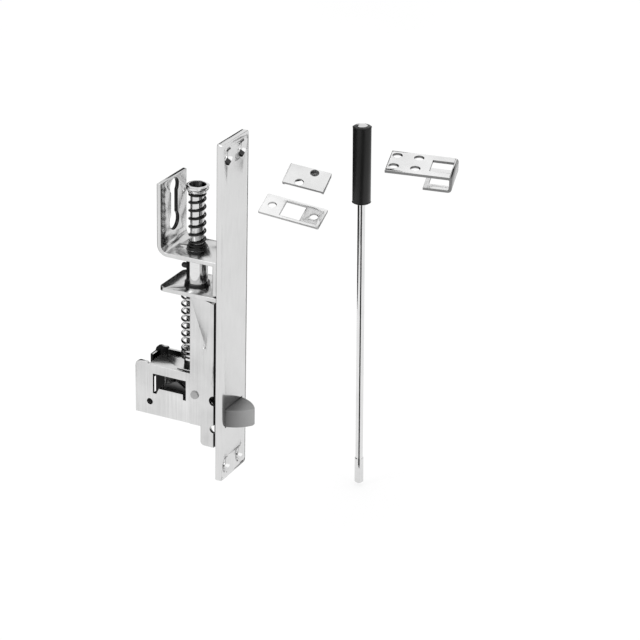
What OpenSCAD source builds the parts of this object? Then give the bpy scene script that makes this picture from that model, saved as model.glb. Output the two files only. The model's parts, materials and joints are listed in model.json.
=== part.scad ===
// Automatic flush bolt kit: spring mechanism on a face plate, bolt rod, guide, strike and rub plate.
// Millimetres. +Z is the bolt's direction, +X is out of the face plate's front.
// The origin is the centre of the face plate's front face.

/* [Face plate] */
// Length of the face plate
plate_l = 171.45; // [168:0.5:176]
// Width of the face plate
plate_w = 25.4; // [25:0.1:28]
// Thickness of the face plate
plate_t = 3.2; // [3:0.1:3.4]
// Distance of the bolt's axis behind the face
backset = 20; // [19:0.05:20.5]
// Screw hole spacing across the plate
screw_pitch_y = 13.2; // [12:0.1:14]
// Screw hole spacing along the plate
screw_pitch_z = 157.2; // [154:0.1:160]
// Diameter of the screw holes
screw_d = 4.8; // [4.4:0.1:5]
// Diameter of the countersinks
screw_csk_d = 8.6; // [8:0.1:9]

/* [Frame] */
// Outer width of the frame and housing
frame_w = 22; // [22:0.1:22.6]
// Width of the upper bracket and the lower shelf
bracket_w = 25.4; // [24:0.1:26]
// Sheet thickness of the frame and brackets
sheet_t = 2; // [1.9:0.05:2.1]
// Sheet thickness of the housing sides
side_t = 1.6; // [1.5:0.05:1.65]
// Height of the frame's top edge above the origin
frame_top = 7.4; // [7:0.1:8]
// Depth of the housing behind the face
housing_back = 48; // [47:0.1:50]

/* [Motion] */
// Travel of the bolt
throw = 19; // [17:0.1:19]
// Travel of the trigger
stroke = 10.5; // [10:0.1:10.5]
// Length that the plunger can give way against the override spring
override = 12; // [8:0.5:12]

/* [Trigger] */
// How far the trigger's nose stands out of the face
nose_out = 11; // [10.8:0.1:12]
// Width of the trigger's nose
nose_w = 17; // [16:0.1:17]
// Height of the trigger's nose
nose_h = 9; // [8.6:0.1:9]
// Height of the trigger's middle above the origin
trigger_z = -53.6; // [-54:0.1:-53]

/* [Bolt rod] */
// Whole length of the rod with its head
rod_total = 203.2; // [190:0.1:220]
// Diameter of the rod
rod_d = 3.97; // [3.6:0.01:4.2]
// Diameter of the bolt head
head_d = 9.5; // [9:0.1:10]
// Length of the bolt head
head_l = 41.3; // [38:0.1:44]

/* [Loose plates] */
// Length of the strike
strike_l = 32; // [31:0.1:34]
// Width of the strike
strike_w = 14; // [13.6:0.1:16]
// Length of the rub plate
rub_l = 21.6; // [21:0.1:24]
// Width of the rub plate
rub_w = 13.4; // [13.2:0.1:16]
// Length of the guide
guide_l = 33.3; // [33:0.1:36]
// Width of the guide
guide_w = 20.6; // [20:0.1:22]
// Height of the guide from top to bottom
guide_h = 8.4; // [8.2:0.1:12]

/* [Hidden] */
$fn = 64;

e = 0.01;                        // overlap that joins two volumes
axis_x = -backset;               // the bolt's axis
half_w = frame_w / 2;
plate_back = -plate_t;
web_back = plate_back - sheet_t; // back of the sheet that lies on the face plate

// Frame and housing
wall_rear = -18;                 // rear edge of the frame's side walls
wall_bottom = -59.4;
tail_rear = -12.2;
tail_bottom = -69.3;
side_top = -33;
ear_top = -32;                   // top of the rounded ear at a side's rear
ear_front = -41;
side_out = half_w - 0.4;         // outer face of a housing side
lap_out = half_w - sheet_t;      // outer face of the lap behind the frame's wall
lap_front = -12;
window_rear = -38.4;
window_front = -20.4;
window_top = -37.6;
tongue_top = -44.9;
window_leg_z = -47.9;
spacer_x = -40.2;
spacer_z = -52.7;
spacer_hole_r = 1.6;
spacer_r = 2.3;                  // clear of the crank's rear arm through its whole turn

// Brackets
shelf_top = frame_top + 2.2;     // top of the lower shelf
shelf_t = 2.2;
shelf_rear = -34;
upper_z = 25.3;                  // underside of the upper shelf
bracket_half_w = bracket_w / 2;
bracket_rear = -34.6;
bracket_top = 61;
slot_y = 0.8;                      // the keyhole slot's place across the bracket
bend_r = 5.5;
keyhole_top_z = 55.8;
keyhole_top_r = 4;
keyhole_slot_w = 6;
keyhole_z = 38.7;                // middle of the keyhole's round end
keyhole_r = 4.4;
pin_slot_w = 3.4;                // slot in the upper shelf that lets the cross pin rise
pin_slot_l = 10;
wall_front = plate_back - 1.8;   // front edge of the frame's side walls
rivet_y = 5;                     // the shelf's two rivets
rivet_z = -3;
rivet_r = 1.5;
slot_gap = 0.3;                  // clearance about the trigger's nose

// Sleeve, springs and plunger
sleeve_r = 5.15;
run_gap = 0.05;                  // running clearance on a radius
tube_r = 3.4;
thread_r = 2.42;
thread_l = 22;                   // depth of the plunger's threaded bore with its funnel
plunger_r = 5.4;
plunger_top = 59.4;
plunger_head_h = 3.7;
plunger_bottom = 6;
cross_pin_z = 17.5;
cross_pin_r = 1.35;
cross_pin_l = 3.25;              // straight length outside the tube, before its round end
washer_t = 0.6;                  // one of the two thrust washers
bushing_r = 6;                   // flange of the lower bushing
bushing_flange = 0.9;
bushing_body_r = sleeve_r + 0.5;
override_wire = 0.42;
return_wire = 0.6;
spring_mean_r = 7.1;
collar_z = -39.9;                // bottom of the sleeve and its collar
web_z = side_top - 0.2 - side_t; // underside of the lifter's web
collar_h = 11.9;
collar_r = 6.2;
seat_t = 1;
seat_z = collar_z + collar_h;
spring_z = seat_z + seat_t;      // bottom of the return spring
sleeve_top = upper_z + shelf_t;
override_z = sleeve_top + 2 * washer_t;

// Crank
pivot_x = -15.4;
pivot_z = -43.5;
pivot_r = 1.6;
arm_down = pivot_z - trigger_z;              // height of the pivot above the trigger pin
arm_back = arm_down * throw / stroke;        // pivot to lifter pin, measured along X
rest_a = atan(stroke / 2 / arm_down);        // crank angle at rest, from level
trigger_pin_x = pivot_x + stroke / 2;
trigger_pin_r = 1.3;
lifter_pin_x = pivot_x - arm_back;
lifter_pin_z = pivot_z - throw / 2;
lifter_pin_r = 1.5;
crank_in = 5.3;                              // inner face of a crank plate
crank_out = 6.9;

// Places of the loose pieces, beside the mechanism. Each plate is turned about Z,
// then leans back about a level line that runs show_a degrees round from X.
show_a = 25.4;
rod_at = [6.2, 125, 55.9];
rod_lean = -1.2;
strike_at = [-8.6, 78, 22];
strike_turn = 5.5;
strike_lean = 23;
rub_at = [-5.2, 86, 37.5];
rub_turn = 8;
rub_lean = 27;
guide_at = [51.2, 98, 50.8];
guide_turn = 14;
guide_lean = 9;

// Bolt rod
dome_h = 1.2;                    // the rivet's dome on the bolt head
ferrule_l = 14.5;
ferrule_r = 2.4;

// Loose plates
plates_t = 1.2;                  // sheet of the strike and the rub plate
guide_t = 1.4;
guide_leaf = 14.2;               // length of the guide's lower leaf
guide_window_l = 10.4;
guide_window_w = 11;
guide_pitch = 10.8;              // the guide's four holes stand in a square
guide_holes_x = -guide_l / 2 + 8.8;
guide_holes_y = 0.6;
guide_hole_r = 2.4;
strike_window = 10.6;
strike_pitch = 22.2;
strike_hole_r = 2.1;
rub_lip = 2.2;                   // how far the rub plate's turned ends reach down
rub_pitch = 9.9;
rub_holes_a = 58;                // from the rub plate's long side to its row of holes
rub_hole_r = 2.2;

// A solid cylinder along Y, centred on the XZ plane
module pin_y(x, z, r, l) translate([x, 0, z]) rotate([90, 0, 0]) cylinder(r = r, h = l, center = true);

// A sheet lying in the XZ plane, between two Y values, from an XZ outline
module sheet_xz(y0, y1) translate([0, y1, 0]) rotate([90, 0, 0]) linear_extrude(y1 - y0) children();

// A ring about the bolt's axis
module ring(z, h, r_out, r_in) translate([axis_x, 0, z]) difference() {
    cylinder(r = r_out, h = h);
    translate([0, 0, -1]) cylinder(r = r_in, h = h + 2);
}

// A rectangle with its four corners rounded
module round_rect(l, w, r) {
    square([l - 2 * r, w], center = true);
    square([l, w - 2 * r], center = true);
    for (sx = [-1, 1], sy = [-1, 1]) translate([sx * (l / 2 - r), sy * (w / 2 - r)]) circle(r);
}

// A slot outline from one centre to another along X
module slot_2d(x0, x1, r) {
    translate([x0, -r]) square([x1 - x0, 2 * r]);
    for (x = [x0, x1]) translate([x, 0]) circle(r);
}

module faceplate() color("gainsboro") difference() {
    rotate([0, -90, 0]) linear_extrude(plate_t) round_rect(plate_l, plate_w, 1.2);
    translate([-plate_t / 2, 0, trigger_z])
        cube([plate_t + 2, nose_w + 2 * slot_gap, nose_h + 2 * slot_gap], center = true);
    for (sy = [-1, 1], sz = [-1, 1]) translate([0, sy * screw_pitch_y / 2, sz * screw_pitch_z / 2])
        rotate([0, -90, 0]) {
            translate([0, 0, -1]) cylinder(d = screw_d, h = plate_t + 2);
            translate([0, 0, -e]) cylinder(d1 = screw_csk_d, d2 = screw_d, h = (screw_csk_d - screw_d) / 2);
        }
}

// Outline of one side wall of the frame, with its tail and a relief under the shelf's bend
module wall_outline() {
    tail_r = 2;
    relief_l = 6;
    relief_h = 1.8;
    difference() {
        union() {
            translate([wall_rear, wall_bottom]) square([wall_front - wall_rear, frame_top - wall_bottom]);
            translate([tail_rear, tail_bottom + tail_r])
                square([wall_front - tail_rear, wall_bottom - tail_bottom]);
            translate([tail_rear + tail_r, tail_bottom])
                square([wall_front - tail_rear - tail_r, tail_r + e]);
            translate([tail_rear + tail_r, tail_bottom + tail_r]) circle(tail_r);
        }
        translate([wall_front, trigger_z + 8.9]) circle(2.6);
        translate([wall_front, trigger_z - 6]) circle(2.1);
        polygon([[wall_front - relief_l, frame_top + 1], [wall_front - relief_l + 1, frame_top - 0.6],
            [wall_front - 1, frame_top - relief_h], [wall_front + 1, frame_top - relief_h],
            [wall_front + 1, frame_top + 1]]);
    }
}

module frame_channel() color("lightgray") {
    web_in = 1.2;
    dimple_x = -10.5;
    dimple_z = -17.3;
    difference() {
        union() {
            for (s = [-1, 1]) sheet_xz(s < 0 ? -half_w : lap_out, s < 0 ? -lap_out : half_w) wall_outline();
            translate([web_back, -half_w + web_in, tail_bottom])
                cube([sheet_t, frame_w - 2 * web_in, frame_top - tail_bottom]);
        }
        pin_y(pivot_x, pivot_z, pivot_r, frame_w + 2);
        translate([web_back - 1, -nose_w / 2 - slot_gap, trigger_z - nose_h / 2 - slot_gap])
            cube([sheet_t + 2, nose_w + 2 * slot_gap, nose_h + 2 * slot_gap]);
        for (sy = [-1, 1]) translate([web_back - 1, sy * rivet_y, rivet_z]) rotate([0, 90, 0])
            cylinder(r = rivet_r, h = sheet_t + 2);
        translate([dimple_x, -half_w - e, dimple_z]) rotate([-90, 0, 0])
            cylinder(r1 = 1.1, r2 = 0.4, h = 0.5);
    }
}

module lower_shelf() color("lightgray") difference() {
    corner_r = 3;
    union() {
        translate([0, 0, frame_top]) linear_extrude(shelf_t) difference() {
            union() {
                translate([shelf_rear + corner_r, -bracket_half_w])
                    square([web_back + sheet_t - shelf_rear - corner_r, bracket_w]);
                translate([shelf_rear, -bracket_half_w + corner_r]) square([4, bracket_w - 2 * corner_r]);
                for (s = [-1, 1]) translate([shelf_rear + corner_r, s * (bracket_half_w - corner_r)])
                    circle(corner_r);
            }
            translate([axis_x, 0]) circle(bushing_body_r);
        }
        translate([web_back - sheet_t, -lap_out + 0.2, -8])
            cube([sheet_t, 2 * lap_out - 0.4, frame_top + 8 + e]);
    }
    for (sy = [-1, 1]) translate([web_back - sheet_t - 1, sy * rivet_y, rivet_z]) rotate([0, 90, 0])
        cylinder(r = rivet_r, h = sheet_t + 2);
}

module shelf_rivets() color("gray") for (sy = [-1, 1]) translate([plate_back, sy * rivet_y, rivet_z])
    rotate([0, -90, 0]) {
        cylinder(r = rivet_r, h = 2 * sheet_t + e);
        translate([0, 0, 2 * sheet_t]) cylinder(r = 2.6, h = 0.8);
    }

module lower_bushing() color("silver") {
    ring(frame_top, shelf_t + e, bushing_body_r, sleeve_r + run_gap);
    ring(shelf_top, bushing_flange, bushing_r, sleeve_r + run_gap);
}

// The angle's outline: back plate, outer bend and shelf
module bracket_outline() {
    difference() {
        union() {
            translate([bracket_rear, upper_z + bend_r])
                square([sheet_t, bracket_top - upper_z - bend_r]);
            translate([bracket_rear + bend_r, upper_z])
                square([web_back + sheet_t - bracket_rear - bend_r, shelf_t]);
            translate([bracket_rear + bend_r, upper_z + bend_r]) circle(bend_r);
        }
        translate([bracket_rear + bend_r, upper_z + bend_r]) circle(bend_r - sheet_t);
        translate([bracket_rear + sheet_t, upper_z + bend_r]) square([20, 20]);
        translate([bracket_rear + bend_r, upper_z + shelf_t]) square([20, 20]);
    }
    translate([web_back, shelf_top + 1]) square([sheet_t, sleeve_top - shelf_top - 1]);
}

module upper_bracket() color("lightgray") difference() {
    sheet_xz(-bracket_half_w, bracket_half_w) bracket_outline();
    translate([axis_x, 0, upper_z - 1]) cylinder(r = sleeve_r + run_gap, h = shelf_t + 2);
    translate([axis_x - pin_slot_l, -pin_slot_w / 2, upper_z - 1]) cube([pin_slot_l, pin_slot_w, shelf_t + 2]);
    translate([bracket_rear - 1, 0, 0]) rotate([0, 90, 0]) linear_extrude(sheet_t + 2) {
        translate([-keyhole_top_z, slot_y]) circle(keyhole_top_r);
        translate([-keyhole_top_z, slot_y - keyhole_slot_w / 2])
            square([keyhole_top_z - keyhole_z, keyhole_slot_w]);
        translate([-keyhole_z, slot_y]) circle(keyhole_r);
        translate([-50.5, bracket_half_w - 2.2]) circle(1.2);
    }
}

// Outline of a housing side, behind the frame, with a rounded ear at its rear
module side_outline() {
    r = 3;
    translate([-housing_back, wall_bottom]) square([housing_back + wall_rear, ear_top - r - wall_bottom]);
    translate([-housing_back + r, wall_bottom]) square([housing_back - r + wall_rear, side_top - wall_bottom]);
    translate([-housing_back + r, wall_bottom])
        square([ear_front - r + housing_back - 1, ear_top - wall_bottom]);
    translate([-housing_back + r, ear_top - r]) circle(r);
    translate([ear_front - 1, side_top - e]) circle(ear_top - side_top);
}

// The window and the two legs beside its lanced tongue
module window_outline() {
    translate([window_rear, tongue_top]) square([window_front - window_rear, window_top - tongue_top]);
    polygon([[window_rear, tongue_top + e], [window_rear, window_leg_z],
        [window_rear + 1.8, window_leg_z], [window_rear + 3.2, tongue_top + e]]);
    translate([window_front - 1.5, window_leg_z]) square([1.5, tongue_top - window_leg_z + e]);
}

module side_plate() difference() {
    union() {
        sheet_xz(side_out - side_t, side_out) side_outline();
        sheet_xz(lap_out - side_t, side_out) translate([wall_rear - 1.6, wall_bottom])
            square([1.6, side_top - wall_bottom]);
        sheet_xz(lap_out - side_t, lap_out) translate([wall_rear - 1.6, wall_bottom])
            square([lap_front - wall_rear + 1.6, side_top - wall_bottom]);
    }
    translate([pivot_x, half_w, pivot_z]) rotate([90, 0, 0]) cylinder(r = pivot_r, h = 6);
    translate([spacer_x, half_w + 1, spacer_z]) rotate([90, 0, 0]) cylinder(r = spacer_hole_r, h = 6);
}

// The far side, with a short flange turned in at its rear edge
module side_plate_left() color("lightgray") {
    flange_y = 4;
    flange_z0 = wall_bottom + 12;
    side_plate();
    translate([-housing_back, flange_y, flange_z0])
        cube([side_t, side_out - side_t - flange_y + e, ear_top - 3 - flange_z0]);
}

module side_plate_right() color("lightgray") difference() {
    mirror([0, 1, 0]) side_plate();
    sheet_xz(-half_w, -lap_out + side_t + 1) window_outline();
}

module rear_spacer() color("gray") difference() {
    pin_y(spacer_x, spacer_z, spacer_r, 2 * (side_out - side_t));
    pin_y(spacer_x, spacer_z, spacer_hole_r, frame_w);
}

module pivot_pin() color("gray") {
    pin_y(pivot_x, pivot_z, pivot_r, frame_w + e);
    for (s = [-1, 1]) translate([pivot_x, s * (half_w + 0.25), pivot_z]) rotate([90, 0, 0])
        cylinder(r = 2, h = 0.5, center = true);
}

// Plan outline of the nose: two curved flanks that meet in a blunt tip
module nose_outline() {
    flank_r = 16.7;
    flank_x = -3.3;
    flank_y = sqrt(flank_r * flank_r - flank_x * flank_x) - nose_w / 2;
    intersection() {
        translate([-1.2, -nose_w / 2]) square([1.2 + nose_out, nose_w]);
        translate([flank_x, -flank_y]) circle(flank_r);
        translate([flank_x, flank_y]) circle(flank_r);
    }
}

module trigger_nose() color("dimgray") translate([0, 0, trigger_z - nose_h / 2])
    linear_extrude(nose_h) nose_outline();

module trigger_stem() color("gray") difference() {
    translate([trigger_pin_x - 3, -4.9, trigger_z - 3.5]) cube([-1.2 - trigger_pin_x + 3, 9.8, 7]);
    pin_y(trigger_pin_x, trigger_z, trigger_pin_r, 20);
}

module trigger_pin() color("silver") pin_y(trigger_pin_x, trigger_z, trigger_pin_r, 2 * crank_out);

// One crank plate, with its pivot at the origin, its long arm along +X and its short arm along -Y
module crank_outline() {
    long_0 = arm_back;
    long_1 = arm_back / cos(rest_a);
    short_0 = arm_down;
    short_1 = arm_down / cos(rest_a);
    wide = lifter_pin_r + 0.4;
    narrow = trigger_pin_r + 0.3;
    difference() {
        union() {
            slot_2d(0, long_1, wide + 1.5);
            rotate(-90) slot_2d(0, short_1, narrow + 1.4);
            polygon([[5, 0], [9, 7.4], [17, 8.2], [long_1 + 1, wide]]);
        }
        slot_2d(long_0 - 0.2, long_1 + 0.2, wide);
        rotate(-90) slot_2d(short_0 - 0.2, short_1 + 0.2, narrow);
        circle(pivot_r + run_gap);
    }
}

module crank_lever() color("slategray") {
    bridge = 12.4;
    // seen from -Y with X mirrored, so that the long arm points back
    translate([pivot_x, 0, pivot_z]) rotate([0, -rest_a, 0]) mirror([1, 0, 0]) {
        for (y = [-crank_out, crank_in]) sheet_xz(y, y + crank_out - crank_in) crank_outline();
        translate([bridge, 0, 0]) rotate([90, 0, 0]) cylinder(r = 1.8, h = 2 * crank_in + 0.2, center = true);
    }
}

// A flat web about the collar, with a tongue that hangs from it and holds the pin
module lifter() color("darkgray") difference() {
    rear = -41.4;
    far_y = 4.8;
    near_y = -8.8;
    corner_r = 2.5;
    tongue_half = 3;
    union() {
        translate([0, 0, web_z]) linear_extrude(side_t) {
            translate([rear, near_y]) square([axis_x - rear, far_y - corner_r - near_y]);
            translate([rear + corner_r, near_y]) square([axis_x - rear - corner_r, far_y - near_y]);
            translate([rear + corner_r, far_y - corner_r]) circle(corner_r);
            translate([axis_x, 0]) circle(7.2);
        }
        translate([lifter_pin_x - tongue_half, -2, lifter_pin_z - tongue_half])
            cube([2 * tongue_half, 4, web_z - lifter_pin_z + tongue_half + e]);
    }
    translate([axis_x, 0, web_z - 1]) cylinder(r = collar_r, h = side_t + 2);
    translate([axis_x - collar_r, near_y - 1, web_z - 1]) cube([20, -near_y - 6.2, side_t + 2]);
    pin_y(lifter_pin_x, lifter_pin_z, lifter_pin_r, 30);
}

module lifter_pin() color("silver") pin_y(lifter_pin_x, lifter_pin_z, lifter_pin_r, 2 * crank_out);

module spring_collar() color("dimgray") ring(collar_z, collar_h, collar_r, sleeve_r);

module seat_washer() color("silver") ring(seat_z, seat_t, spring_mean_r + return_wire + 0.2, sleeve_r);

module lift_sleeve() color("silver") difference() {
    translate([axis_x, 0, collar_z]) cylinder(r = sleeve_r, h = sleeve_top - collar_z);
    translate([axis_x, 0, collar_z - 1]) cylinder(r = 2.2, h = 60);
    translate([axis_x, 0, plunger_bottom - override - 1.5]) cylinder(r = tube_r + run_gap, h = 60);
    translate([axis_x, 0, cross_pin_z]) rotate([0, -90, 0]) cylinder(r = cross_pin_r, h = 20);
}

module cross_pin() color("dimgray") translate([axis_x - tube_r - 0.3, 0, cross_pin_z]) rotate([0, -90, 0]) {
    cylinder(r = cross_pin_r, h = cross_pin_l);
    translate([0, 0, cross_pin_l]) sphere(cross_pin_r);
}

module thrust_washers() color("dimgray") {
    seam = 0.06;
    ring(sleeve_top, washer_t - seam, 4.6, tube_r + run_gap);
    ring(sleeve_top + washer_t, washer_t, 5, tube_r + run_gap);
}

module plunger() color("silver") difference() {
    cone_h = 1.8;
    rim_in = 0.5;
    funnel_h = 2.2;
    union() {
        translate([axis_x, 0, plunger_bottom]) cylinder(r = tube_r, h = plunger_top - plunger_bottom - 1);
        translate([axis_x, 0, plunger_top - plunger_head_h])
            cylinder(r1 = plunger_r - 0.9, r2 = plunger_r, h = cone_h + e);
        translate([axis_x, 0, plunger_top - plunger_head_h + cone_h])
            cylinder(r = plunger_r, h = plunger_head_h - cone_h - rim_in + e);
        translate([axis_x, 0, plunger_top - rim_in]) cylinder(r1 = plunger_r, r2 = plunger_r - rim_in, h = rim_in);
    }
    translate([axis_x, 0, plunger_top - thread_l]) cylinder(r = thread_r, h = thread_l + 1);
    translate([axis_x, 0, plunger_top - funnel_h])
        cylinder(r1 = thread_r, r2 = plunger_r - 1.4, h = funnel_h + e);
}

// A round-wire compression spring as a stack of coils: one ring a turn
module coil_rings(z0, z1, turns, r_mean, wire_r, sides) {
    pitch = (z1 - z0 - 2 * wire_r) / (turns - 1);
    for (i = [0 : turns - 1]) translate([axis_x, 0, z0 + wire_r + i * pitch])
        rotate_extrude($fn = sides) translate([r_mean, 0]) circle(wire_r, $fn = 16);
}

module return_spring() color("silver") coil_rings(spring_z, frame_top, 10, spring_mean_r, return_wire, 48);

module override_spring() color("black")
    coil_rings(override_z, plunger_top - plunger_head_h, 8, tube_r + 0.05 + override_wire, override_wire, 48);

// A loose plate's place: turned about Z, then leant back
module laid(at, turn, lean) translate(at) rotate(a = lean, v = [cos(show_a), sin(show_a), 0])
    rotate([0, 0, turn]) children();

// A height along the loose rod, below its top end
module down_rod(z) translate(rod_at) rotate(a = rod_lean, v = [-sin(show_a), cos(show_a), 0])
    translate([0, 0, -z]) children();

module rod() color("lightgray") down_rod(rod_total - ferrule_l)
    cylinder(d = rod_d, h = rod_total - ferrule_l - head_l - dome_h);

module rod_ferrule() color("silver") down_rod(rod_total) {
    chamfer = 0.6;
    cylinder(r1 = ferrule_r - chamfer, r2 = ferrule_r, h = chamfer);
    translate([0, 0, chamfer - e]) cylinder(r = ferrule_r, h = ferrule_l - chamfer + e);
}

module bolt_head() color("black") down_rod(dome_h + head_l) {
    r = head_d / 2;
    chamfer = 0.5;
    cylinder(r1 = r - chamfer, r2 = r, h = chamfer);
    translate([0, 0, chamfer - e]) cylinder(r = r, h = head_l - 2 * chamfer + 2 * e);
    translate([0, 0, head_l - chamfer]) cylinder(r1 = r, r2 = r - chamfer, h = chamfer);
}

module head_rivet() color("silver") down_rod(dome_h) intersection() {
    sphere_r = 4.6;
    cylinder(r = 2.8, h = dome_h);
    translate([0, 0, dome_h - sphere_r]) sphere(sphere_r);
}

// The folded outline of the guide, seen from its side: a long leaf over a short one
module guide_profile() {
    x0 = -guide_l / 2;
    x1 = guide_l / 2;
    bend = 2;
    translate([x0, -guide_t]) square([guide_l - bend, guide_t]);
    translate([x1 - guide_leaf, -guide_h]) square([guide_leaf - bend, guide_t]);
    translate([x1 - guide_t, -guide_h + bend]) square([guide_t, guide_h - 2 * bend]);
    for (z = [-bend, -guide_h + bend]) intersection() {
        translate([x1 - bend, z]) difference() {
            circle(bend);
            circle(bend - guide_t);
        }
        translate([x1 - bend, z == -bend ? z : z - bend]) square([bend, bend]);
    }
}

// The guide: a plate with four screw holes, folded under itself, with a window for the bolt in both leaves
module guide() color("gainsboro") laid(guide_at, guide_turn, guide_lean) difference() {
    translate([0, guide_w / 2, 0]) rotate([90, 0, 0]) linear_extrude(guide_w) guide_profile();
    translate([guide_l / 2 - guide_t - 0.2 - guide_window_l, -guide_window_w / 2, -guide_h - 1])
        cube([guide_window_l, guide_window_w, guide_h + 2]);
    for (sx = [-1, 1], sy = [-1, 1])
        translate([guide_holes_x + sx * guide_pitch / 2, guide_holes_y + sy * guide_pitch / 2, -guide_t - 1])
            cylinder(r = guide_hole_r, h = guide_t + 2);
}

module strike() color("gainsboro") laid(strike_at, strike_turn, strike_lean) difference() {
    translate([0, 0, -plates_t]) linear_extrude(plates_t) round_rect(strike_l, strike_w, 0.8);
    translate([-strike_window / 2, -strike_window / 2, -plates_t - 1])
        cube([strike_window, strike_window, plates_t + 2]);
    for (s = [-1, 1]) translate([s * strike_pitch / 2, 0, -plates_t - 1])
        cylinder(r = strike_hole_r, h = plates_t + 2);
}

// The rub plate, with two screw holes set askew and its short ends turned down
module rub_plate() color("gainsboro") laid(rub_at, rub_turn, rub_lean) difference() {
    union() {
        translate([0, 0, -plates_t]) linear_extrude(plates_t) round_rect(rub_l, rub_w, 0.5);
        for (s = [-1, 1]) translate([s * (rub_l - plates_t) / 2, 0, -rub_lip / 2])
            cube([plates_t, rub_w - 1, rub_lip], center = true);
    }
    for (s = [-1, 1]) rotate([0, 0, rub_holes_a]) translate([s * rub_pitch / 2, 0, -plates_t - 1])
        cylinder(r = rub_hole_r, h = plates_t + 2);
}

faceplate();
frame_channel();
lower_shelf();
upper_bracket();
shelf_rivets();
lower_bushing();
side_plate_left();
side_plate_right();
rear_spacer();
pivot_pin();
trigger_nose();
trigger_stem();
trigger_pin();
crank_lever();
lifter();
lifter_pin();
spring_collar();
seat_washer();
return_spring();
lift_sleeve();
cross_pin();
thrust_washers();
override_spring();
plunger();
rod();
rod_ferrule();
bolt_head();
head_rivet();
guide();
strike();
rub_plate();
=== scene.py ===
"""Looks of the automatic flush bolt kit: real springs, finished sheet parts, metals, light and camera."""

import json
import math

import bmesh
import bpy
from mathutils import Matrix, Vector

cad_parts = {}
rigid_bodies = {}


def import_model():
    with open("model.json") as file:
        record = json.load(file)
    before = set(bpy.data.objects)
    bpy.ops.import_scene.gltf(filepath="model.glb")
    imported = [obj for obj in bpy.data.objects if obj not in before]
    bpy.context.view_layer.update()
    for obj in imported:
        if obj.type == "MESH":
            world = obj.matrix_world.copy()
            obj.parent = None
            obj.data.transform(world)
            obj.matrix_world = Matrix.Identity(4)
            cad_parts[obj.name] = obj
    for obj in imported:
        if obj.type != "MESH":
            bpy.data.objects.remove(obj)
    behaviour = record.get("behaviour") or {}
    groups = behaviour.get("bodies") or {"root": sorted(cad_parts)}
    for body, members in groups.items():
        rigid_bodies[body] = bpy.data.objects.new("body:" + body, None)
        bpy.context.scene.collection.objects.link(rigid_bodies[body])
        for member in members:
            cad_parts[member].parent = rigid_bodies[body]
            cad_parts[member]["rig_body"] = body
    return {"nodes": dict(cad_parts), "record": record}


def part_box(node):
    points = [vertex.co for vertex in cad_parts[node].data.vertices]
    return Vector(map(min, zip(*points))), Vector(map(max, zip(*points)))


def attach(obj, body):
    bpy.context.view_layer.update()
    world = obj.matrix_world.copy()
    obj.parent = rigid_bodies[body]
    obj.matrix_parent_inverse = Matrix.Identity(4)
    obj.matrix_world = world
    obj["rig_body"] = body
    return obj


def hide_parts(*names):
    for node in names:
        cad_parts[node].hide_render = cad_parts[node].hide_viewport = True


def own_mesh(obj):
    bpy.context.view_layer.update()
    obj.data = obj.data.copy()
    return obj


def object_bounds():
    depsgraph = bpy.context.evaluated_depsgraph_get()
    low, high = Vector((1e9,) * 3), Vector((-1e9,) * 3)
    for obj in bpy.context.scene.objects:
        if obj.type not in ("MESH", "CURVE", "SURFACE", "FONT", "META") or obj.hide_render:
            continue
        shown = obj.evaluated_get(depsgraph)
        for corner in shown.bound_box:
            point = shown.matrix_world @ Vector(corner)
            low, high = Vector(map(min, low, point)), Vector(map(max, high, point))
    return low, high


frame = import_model()
cad_box = [list(corner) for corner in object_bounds()]

MM = 0.001


# ---------------------------------------------------------------- camera

CAMERA_PLACE = (0.47306, -0.90261, 0.44402)
CAMERA_TURN = (-25.389, 23.761, 1.420)      # azimuth, downward pitch and roll, in degrees
LENS_MM = 132.66
SENSOR_MM = 36


def aim_camera():
    """A long lens at the photograph's viewing angle: right of the face plate and above it."""
    data = bpy.data.cameras.new("photo_camera")
    data.sensor_width = SENSOR_MM
    data.lens = LENS_MM
    data.clip_start = 0.01
    data.clip_end = 20
    camera = bpy.data.objects.new("photo_camera", data)
    bpy.context.scene.collection.objects.link(camera)
    azimuth, pitch, roll = (math.radians(a) for a in CAMERA_TURN)
    ahead = Vector((math.sin(azimuth) * math.cos(pitch), math.cos(azimuth) * math.cos(pitch),
                    -math.sin(pitch)))
    level = ahead.cross(Vector((0, 0, 1))).normalized()
    upright = level.cross(ahead)
    right = level * math.cos(roll) + upright * math.sin(roll)
    up = upright * math.cos(roll) - level * math.sin(roll)
    turn = Matrix((right, up, -ahead)).transposed().to_4x4()
    camera.matrix_world = Matrix.Translation(CAMERA_PLACE) @ turn
    bpy.context.scene.camera = camera


# ---------------------------------------------------------------- materials

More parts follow.
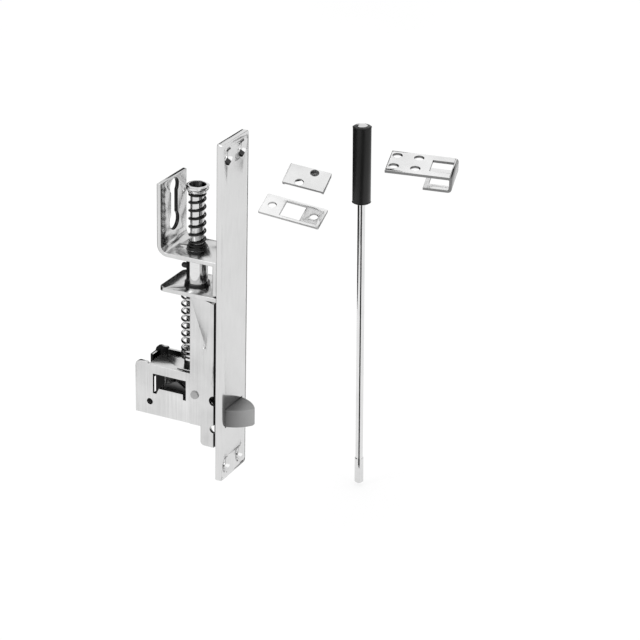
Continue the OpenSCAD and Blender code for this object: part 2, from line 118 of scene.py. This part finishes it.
class Nodes:
    """A new node material and short ways to add to it."""

    def __init__(self, name):
        self.material = bpy.data.materials.new(name)
        self.material.use_nodes = True
        self.tree = self.material.node_tree
        self.shader = self.tree.nodes["Principled BSDF"]

    def add(self, kind, **values):
        node = self.tree.nodes.new(kind)
        for key, value in values.items():
            if key in node.inputs:
                node.inputs[key].default_value = value
            else:
                setattr(node, key, value)
        return node

    def link(self, source, target):
        self.tree.links.new(source, target)

    def noise(self, scale, stretch=(1, 1, 1), detail=3.0):
        """Noise over the object's own coordinates, in metres; stretch multiplies the scale on each axis."""
        place = self.add("ShaderNodeTexCoord")
        mapping = self.add("ShaderNodeMapping")
        mapping.inputs["Scale"].default_value = stretch
        texture = self.add("ShaderNodeTexNoise", Scale=scale, Detail=detail)
        self.link(place.outputs["Object"], mapping.inputs["Vector"])
        self.link(mapping.outputs["Vector"], texture.inputs["Vector"])
        return texture.outputs["Fac"]

    def between(self, factor, low, high):
        """A value that runs from low to high as factor runs from 0.3 to 0.7."""
        ranged = self.add("ShaderNodeMapRange")
        for key, value in (("From Min", 0.3), ("From Max", 0.7), ("To Min", low), ("To Max", high)):
            ranged.inputs[key].default_value = value
        self.link(factor, ranged.inputs["Value"])
        return ranged.outputs["Result"]

    def product(self, a, b):
        node = self.add("ShaderNodeMath", operation="MULTIPLY")
        self.link(a, node.inputs[0])
        self.link(b, node.inputs[1])
        return node.outputs["Value"]

    def edge_lightening(self, strength):
        """A factor above 1 along sharp convex edges, which lightens them."""
        geometry = self.add("ShaderNodeNewGeometry")
        ranged = self.add("ShaderNodeMapRange")
        for key, value in (("From Min", 0.52), ("From Max", 0.62), ("To Min", 1.0), ("To Max", 1 + strength)):
            ranged.inputs[key].default_value = value
        self.link(geometry.outputs["Pointiness"], ranged.inputs["Value"])
        return ranged.outputs["Result"]

    def grey(self, value):
        colour = self.add("ShaderNodeCombineColor")
        for channel in ("Red", "Green", "Blue"):
            self.link(value, colour.inputs[channel])
        self.link(colour.outputs["Color"], self.shader.inputs["Base Color"])

    def math(self, operation, a, b=None):
        node = self.add("ShaderNodeMath", operation=operation)
        for socket, value in zip(node.inputs, (a, b)):
            if isinstance(value, (int, float)):
                socket.default_value = value
            elif value is not None:
                self.link(value, socket)
        return node.outputs["Value"]

    def measure(self, key, vector):
        """Where a point lies (x, y, z) or how it faces (nx, ny, nz); |..| for the absolute value.

        "off" is the distance from the upright axis through vector, "along" how far it faces along vector.
        """
        place = self.add("ShaderNodeTexCoord")
        bare = key.strip("|")
        if bare in ("off", "along"):
            node = self.add("ShaderNodeVectorMath", operation="SUBTRACT" if bare == "off" else "DOT_PRODUCT")
            self.link(place.outputs["Object" if bare == "off" else "Normal"], node.inputs[0])
            node.inputs[1].default_value = vector
            if bare == "off":
                flat = self.add("ShaderNodeVectorMath", operation="MULTIPLY")
                flat.inputs[1].default_value = (1, 1, 0)
                self.link(node.outputs["Vector"], flat.inputs[0])
                node = self.add("ShaderNodeVectorMath", operation="LENGTH")
                self.link(flat.outputs["Vector"], node.inputs[0])
            value = node.outputs["Value"]
        else:
            split = self.add("ShaderNodeSeparateXYZ")
            self.link(place.outputs["Normal" if bare[0] == "n" else "Object"], split.inputs["Vector"])
            value = split.outputs[bare[-1].upper()]
        return self.math("ABSOLUTE", value) if "|" in key else value

    def region(self, limits, vector):
        """1 where every measure lies between its limits, 0 elsewhere."""
        found = None
        for key, (low, high) in limits.items():
            value = self.measure(key, vector)
            within = self.math("MULTIPLY", self.math("GREATER_THAN", value, low),
                               self.math("LESS_THAN", value, high))
            found = within if found is None else self.math("MULTIPLY", found, within)
        return found

    def bump(self, height, depth, distance=0.0001):
        bump = self.add("ShaderNodeBump", Strength=depth, Distance=distance)
        self.link(height, bump.inputs["Height"])
        self.link(bump.outputs["Normal"], self.shader.inputs["Normal"])


def metal(name, tone, rough, grain=(1, 1, 0.02), grain_tone=0.05, cloud=0.05, bump=0.05, edge_lift=0.1,
          grain_scale=4000, metallic=1.0, dark=(), vector=(0, 0, 0), shading_ramp=None):
    """Steel with a fine grain drawn out along one axis, faint clouding and sharp edges lightened.

    The region pairs (region, share of the tone it keeps) darken the tone there as painted shade; the ramp
    (axis, from, to, tone there, tone there) is a painted shading gradient along one axis.
    """
    made = Nodes(name)
    fine = made.noise(grain_scale, grain, 2)
    broad = made.noise(70, detail=4)
    value = made.product(made.between(fine, tone * (1 - grain_tone), tone * (1 + grain_tone)),
                         made.between(broad, 1 - cloud, 1 + cloud))
    value = made.product(value, made.edge_lightening(edge_lift))
    # painted shade: the tone in each region is cut to the share it keeps
    for limits, keep in dark:
        loss = made.math("MULTIPLY", made.region(limits, vector), 1 - keep)
        value = made.product(value, made.math("SUBTRACT", 1.0, loss))
    # painted shading: the tone runs lighter or darker along one axis
    if shading_ramp:
        ranged = made.add("ShaderNodeMapRange")
        for key, number in zip(("From Min", "From Max", "To Min", "To Max"), shading_ramp[1:]):
            ranged.inputs[key].default_value = number
        made.link(made.measure(shading_ramp[0], vector), ranged.inputs["Value"])
        value = made.product(value, ranged.outputs["Result"])
    made.grey(value)
    made.link(made.product(made.between(fine, rough * 0.85, rough * 1.15), made.between(broad, 0.85, 1.15)),
              made.shader.inputs["Roughness"])
    made.shader.inputs["Metallic"].default_value = metallic
    made.bump(fine, bump)
    return made.material


def coating(name, tone, rough, speck=0.3, bump=0.2, grain_scale=3500, sheen=0.25):
    """A dull skin over metal: black oxide, or the bolt head's nylon."""
    made = Nodes(name)
    fine = made.noise(grain_scale, detail=4)
    broad = made.noise(90, detail=3)
    made.grey(made.product(made.between(fine, tone * (1 - speck), tone * (1 + speck)),
                           made.edge_lightening(0.8)))
    made.link(made.between(broad, rough * 0.85, rough * 1.15), made.shader.inputs["Roughness"])
    made.shader.inputs["Metallic"].default_value = 0
    made.shader.inputs["Specular IOR Level"].default_value = sheen
    made.bump(fine, bump)
    return made.material


MATERIALS = {
    "polished_stainless": metal("polished_stainless", 0.66, 0.14, cloud=0.03),
    "bright_sheet": metal("bright_sheet", 0.62, 0.2, grain_tone=0.06, cloud=0.08, grain_scale=2500),
    "turned_steel": metal("turned_steel", 0.66, 0.1, grain=(0.05, 0.05, 1), grain_scale=5000),
    "rivet_steel": metal("rivet_steel", 0.34, 0.38, grain=(1, 1, 1), cloud=0.12),
    # a dark tone for the sheet parts inside the housing, which also serves as painted shade for the shade in
    # there
    "dark_sheet": metal("dark_sheet", 0.14, 0.42, cloud=0.2),
    # painted shading: the trigger's tone runs from darker by the face plate to lighter at the nose tip
    "trigger_metal": metal("trigger_metal", 0.20, 0.5, grain=(1, 1, 1), cloud=0.06, bump=0.25,
                           grain_scale=3000, metallic=0.7, shading_ramp=("x", 0.001, 0.011, 0.7, 1.7)),
    "spring_bright": metal("spring_bright", 0.62, 0.16, grain=(1, 1, 1)),
    "spring_black": coating("spring_black", 0.004, 0.3, sheen=0.35),
    "black_oxide": coating("black_oxide", 0.005, 0.28, sheen=0.4),
    "black_coating": coating("black_coating", 0.006, 0.4, bump=0.12, sheen=0.3),
    "rod_chrome": metal("rod_chrome", 0.68, 0.1, cloud=0.04),
}


def sheet(name, tone=0.62, rough=0.2, **rest):
    """The bright sheet's finish with painted shade regions of its own."""
    return metal(name, tone, rough, grain_tone=0.06, cloud=0.08, grain_scale=2500, **rest)


def own_finishes():
    """Finishes for single nodes: punched holes, bends, insides and side faces get painted shade, their tone
    cut where the face stays bright.
    """
    plunger_low, plunger_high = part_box("plunger")
    axis = ((plunger_low.x + plunger_high.x) / 2, (plunger_low.y + plunger_high.y) / 2, 0)
    guide_up, strike_up, rub_up = (
        mount_axis(n) for n in ("guide_screws", "strike_screws", "rub_plate_screws"))
    # faces by how they point along the mount axis: the side faces, where painted shade goes
    shaded_sides = {"along": (-0.5, 0.9)}
    # the countersinks of the face plate's screw holes, where painted shade goes
    countersink_shade = {"|y|": (0.001, 0.0125), "|nx|": (0.3, 0.93)}
    return {
        # painted shade in the countersinks of the screw holes near the top and bottom ends
        "faceplate": metal("stainless_holes", 0.66, 0.14, cloud=0.03, dark=(
            ({"z": (0.072, 0.0845), "|nz|": (0.5, 2), **countersink_shade}, 0.08),
            ({"z": (-0.0845, -0.072), "nz": (-2, -0.6), **countersink_shade}, 0.08))),
        # painted shadow: a dark band along the bend just behind the face plate
        "frame_channel": sheet("sheet_frame", dark=(({"x": (-0.0052, -0.0031)}, 0.15),)),
        # painted shade on the walls of the keyhole slot
        "upper_bracket": sheet("sheet_keyhole", dark=(
            ({"x": (-0.036, -0.0322), "y": (-0.0052, 0.0068), "z": (0.032, 0.0602),
              "|nx|": (-1, 0.93)}, 0.04),)),
        # painted shade on the inside faces of the housing plate
        "side_plate_left": sheet("sheet_inside", dark=(({"ny": (-2, -0.3)}, 0.02), ({"nx": (0.3, 2)}, 0.02))),
        # painted shade on the walls of the window
        "side_plate_right": sheet("sheet_window", dark=(
            ({"x": (-0.0388, -0.02), "z": (-0.0482, -0.0372), "|ny|": (-1, 0.9)}, 0.04),)),
        # painted shade inside the bore at the top of the plunger
        "plunger": metal("steel_bore", 0.66, 0.1, grain=(0.05, 0.05, 1), grain_scale=5000, vector=axis,
                         dark=(({"off": (-1, 0.0041), "z": (plunger_high.z - 0.0035, 1)}, 0.04),)),
        # painted shade on the side faces that do not point along the mount axis
        "guide": sheet("sheet_guide", 0.80, dark=((shaded_sides, 0.25),), vector=guide_up),
        "strike": sheet("sheet_strike", 0.88, dark=((shaded_sides, 0.45),), vector=strike_up),
        "rub_plate": sheet("sheet_rub", 0.78, dark=((shaded_sides, 0.3),), vector=rub_up),
    }


def mount_axis(name):
    return tuple(next(m["axis"] for m in frame["record"]["mounts"] if m["name"] == name))


OWN = own_finishes()


# ---------------------------------------------------------------- pieces

def add_piece(name, mesh, node, slot, smooth_angle=35):
    """Puts a finished mesh in the scene in place of a CAD node, on that node's body."""
    piece = bpy.data.objects.new(name, mesh)
    bpy.context.scene.collection.objects.link(piece)
    if smooth_angle is not None:
        mesh.shade_smooth()
        mesh.set_sharp_from_angle(angle=math.radians(smooth_angle))
    mesh.materials.clear()
    mesh.materials.append(OWN.get(node, MATERIALS[slot]))
    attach(piece, frame["nodes"][node]["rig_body"])
    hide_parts(node)
    return piece


def helix_tube(centre, coil_r, wire_r, z0, z1, turns, start, dead=1.0, sides=12, per_turn=48):
    """A closed-end compression spring that begins at the angle start; its end turns lie closed."""
    mesh = bpy.data.meshes.new("spring")
    bm = bmesh.new()
    low, high = z0 + wire_r, z1 - wire_r
    pitch_dead = 2 * wire_r * 1.02
    free = turns - 2 * dead
    rise = (high - low - 2 * dead * pitch_dead) / free
    count = int(turns * per_turn)

    def height(t):
        if t < dead:
            return low + t * pitch_dead
        if t > turns - dead:
            return high - (turns - t) * pitch_dead
        return low + dead * pitch_dead + (t - dead) * rise

    rings = []
    for i in range(count + 1):
        t = turns * i / count
        a = math.tau * t + math.radians(start)
        out = Vector((math.cos(a), math.sin(a), 0))
        point = Vector((centre[0], centre[1], 0)) + out * coil_r + Vector((0, 0, height(t)))
        slope = (height(min(t + 0.01, turns)) - height(max(t - 0.01, 0))) / (
            (min(t + 0.01, turns) - max(t - 0.01, 0)) * math.tau * coil_r)
        along = Vector((-math.sin(a), math.cos(a), slope)).normalized()
        side = out.cross(along)
        rings.append([bm.verts.new(point + (out * math.cos(b) + side * math.sin(b)) * wire_r)
                      for b in (math.tau * k / sides for k in range(sides))])
    for one, two in zip(rings, rings[1:]):
        for k in range(sides):
            bm.faces.new((one[k], one[(k + 1) % sides], two[(k + 1) % sides], two[k]))
    bm.faces.new(list(reversed(rings[0])))
    bm.faces.new(rings[-1])
    bmesh.ops.recalc_face_normals(bm, faces=bm.faces)
    bm.to_mesh(mesh)
    bm.free()
    return mesh


RETURN_WIRE = 0.6 * MM
RETURN_TURNS = 10
RETURN_START = 102                          # the angle at which the wire begins, in degrees
OVERRIDE_WIRE = 0.42 * MM
OVERRIDE_TURNS = 8.07
OVERRIDE_START = 189


def springs():
    """True helical springs in place of the CAD model's stacks of rings."""
    low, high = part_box("return_spring")
    centre = (low + high) / 2
    mesh = helix_tube(centre, (high.x - low.x) / 2 - RETURN_WIRE, RETURN_WIRE, low.z, high.z,
                      RETURN_TURNS, RETURN_START)
    piece = add_piece("return_spring_coil", mesh, "return_spring", "spring_bright", 60)
    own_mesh(piece)
    low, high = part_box("override_spring")
    centre = (low + high) / 2
    mesh = helix_tube(centre, (high.x - low.x) / 2 - OVERRIDE_WIRE, OVERRIDE_WIRE, low.z, high.z,
                      OVERRIDE_TURNS, OVERRIDE_START)
    piece = add_piece("override_spring_coil", mesh, "override_spring", "spring_black", 60)
    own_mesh(piece)


def rounded(node, slot, width, flat=False, segments=2, sharp=40):
    """A CAD node's shape with its sharp edges rounded over, which stands for that node."""
    bm = bmesh.new()
    bm.from_mesh(frame["nodes"][node].data)
    bmesh.ops.remove_doubles(bm, verts=bm.verts, dist=1e-6)
    bmesh.ops.dissolve_limit(bm, angle_limit=math.radians(0.5), verts=bm.verts, edges=bm.edges)
    mesh = bpy.data.meshes.new(node + "_rounded")
    bm.to_mesh(mesh)
    bm.free()
    if not flat:
        mesh.shade_smooth()
    blank = bpy.data.objects.new(node + "_blank", mesh)
    bpy.context.scene.collection.objects.link(blank)
    bevel = blank.modifiers.new("round_over", "BEVEL")
    bevel.width = width
    bevel.segments = segments
    bevel.limit_method = "ANGLE"
    bevel.angle_limit = math.radians(sharp)
    bevel.use_clamp_overlap = False
    bevel.harden_normals = not flat
    bpy.context.view_layer.update()
    made = bpy.data.meshes.new_from_object(blank.evaluated_get(bpy.context.evaluated_depsgraph_get()))
    bpy.data.objects.remove(blank)
    return add_piece(node + "_rounded", made, node, slot, None)


ROUNDED = (
    ("faceplate", "polished_stainless", 0.30), ("frame_channel", "bright_sheet", 0.22),
    ("lower_shelf", "bright_sheet", 0.35), ("upper_bracket", "bright_sheet", 0.35),
    ("trigger_nose", "trigger_metal", 0.45), ("lifter", "bright_sheet", 0.2),
    ("guide", "bright_sheet", 0.2), ("strike", "bright_sheet", 0.18), ("rub_plate", "bright_sheet", 0.18),
    ("plunger", "turned_steel", 0.2), ("bolt_head", "black_coating", 0.2),
)
ROUNDED_FLAT = (("side_plate_left", "bright_sheet", 0.12), ("side_plate_right", "bright_sheet", 0.12))


def carried_over():
    """The CAD nodes that stay get their slot's material."""
    slots = {s["node"]: s["material_slot"] for s in frame["record"]["subparts"]}
    for name, node in frame["nodes"].items():
        node.data.shade_smooth()
        node.data.set_sharp_from_angle(angle=math.radians(30))
        for held in node.material_slots:
            held.material = MATERIALS[slots[name]]


# ---------------------------------------------------------------- stage

def card(name, centre, facing, width, height):
    """A flat card at centre that faces along facing and shows only in reflections."""
    facing = Vector(facing).normalized()
    across = Vector((-facing.y, facing.x, 0)).normalized()
    rise = facing.cross(across)
    centre = Vector(centre)
    corners = [centre + across * (x * width / 2) + rise * (y * height / 2)
               for x, y in ((-1, -1), (1, -1), (1, 1), (-1, 1))]
    mesh = bpy.data.meshes.new(name)
    mesh.from_pydata(corners, [], [(0, 1, 2, 3)])
    made = bpy.data.objects.new(name, mesh)
    bpy.context.scene.collection.objects.link(made)
    made.visible_camera = False
    made.visible_diffuse = False
    made.visible_shadow = False
    made.visible_transmission = False
    return mesh


FLOOR_REACH = 8                             # metres from the middle to an edge
FLOOR_GAP = 2 * MM                          # below the lowest piece


def floor_and_light():
    low = Vector(cad_box[0])
    mesh = bpy.data.meshes.new("floor")
    corners = [(x * FLOOR_REACH, y * FLOOR_REACH, low.z - FLOOR_GAP)
               for x, y in ((-1, -1), (1, -1), (1, 1), (-1, 1))]
    mesh.from_pydata(corners, [], [(0, 1, 2, 3)])
    floor = bpy.data.objects.new("floor", mesh)
    bpy.context.scene.collection.objects.link(floor)
    white = Nodes("floor_white")
    white.grey(white.between(white.noise(3), 0.38, 0.4))
    white.shader.inputs["Roughness"].default_value = 0.9
    white.shader.inputs["Specular IOR Level"].default_value = 0.0
    white.shader.inputs["Emission Color"].default_value = (1, 1, 1, 1)
    white.shader.inputs["Emission Strength"].default_value = 0.6
    mesh.materials.append(white.material)

    black = Nodes("card_black")
    black.grey(black.between(black.noise(5), 0.008, 0.012))
    black.shader.inputs["Specular IOR Level"].default_value = 0.0
    toward_camera = Vector((0.4289, -0.9034, 0))
    low_rod, high_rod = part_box("rod")
    rod_top = Vector(((low_rod.x + high_rod.x) / 2, (low_rod.y + high_rod.y) / 2, 0))
    for name, centre, facing, width, height in (
            ("card_rod", rod_top + toward_camera * 25 * MM + Vector((0, 0, -0.04)), -toward_camera,
             0.018, 0.34),
            ("card_left", (-0.22, 0.12, 0.05), (1, 0, 0), 0.5, 0.4),
            ("card_back", (0.16, 0.36, 0.19), (-0.4, -0.9, 0), 0.16, 0.16),
            ("card_front", toward_camera * 0.48 + Vector((0, 0, low.z + 0.03)), -toward_camera,
             0.12, 0.055)):
        card(name, centre, facing, width, height).materials.append(black.material)

    world = bpy.data.worlds.new("studio")
    bpy.context.scene.world = world
    world.use_nodes = True
    background = world.node_tree.nodes["Background"]
    background.inputs["Color"].default_value = (1, 1, 1, 1)
    background.inputs["Strength"].default_value = 1.0

    for name, place, size, power in (
        ("key", (-0.6, -1.2, 1.4), 0.9, 5), ("fill", (1.6, -0.4, 0.8), 1.2, 2)):
        light = bpy.data.lights.new(name, "AREA")
        light.size = size
        light.energy = power
        lamp = bpy.data.objects.new(name, light)
        lamp.location = place
        lamp.rotation_mode = "QUATERNION"
        lamp.rotation_quaternion = (Vector((0, 0, 0)) - Vector(place)).to_track_quat("-Z", "Y")
        bpy.context.scene.collection.objects.link(lamp)
    settings = bpy.context.scene.view_settings
    settings.view_transform = "Standard"


aim_camera()
carried_over()
springs()
for node, slot, width in ROUNDED:
    rounded(node, slot, width * MM)
for node, slot, width in ROUNDED_FLAT:
    rounded(node, slot, width * MM, flat=True)
floor_and_light()
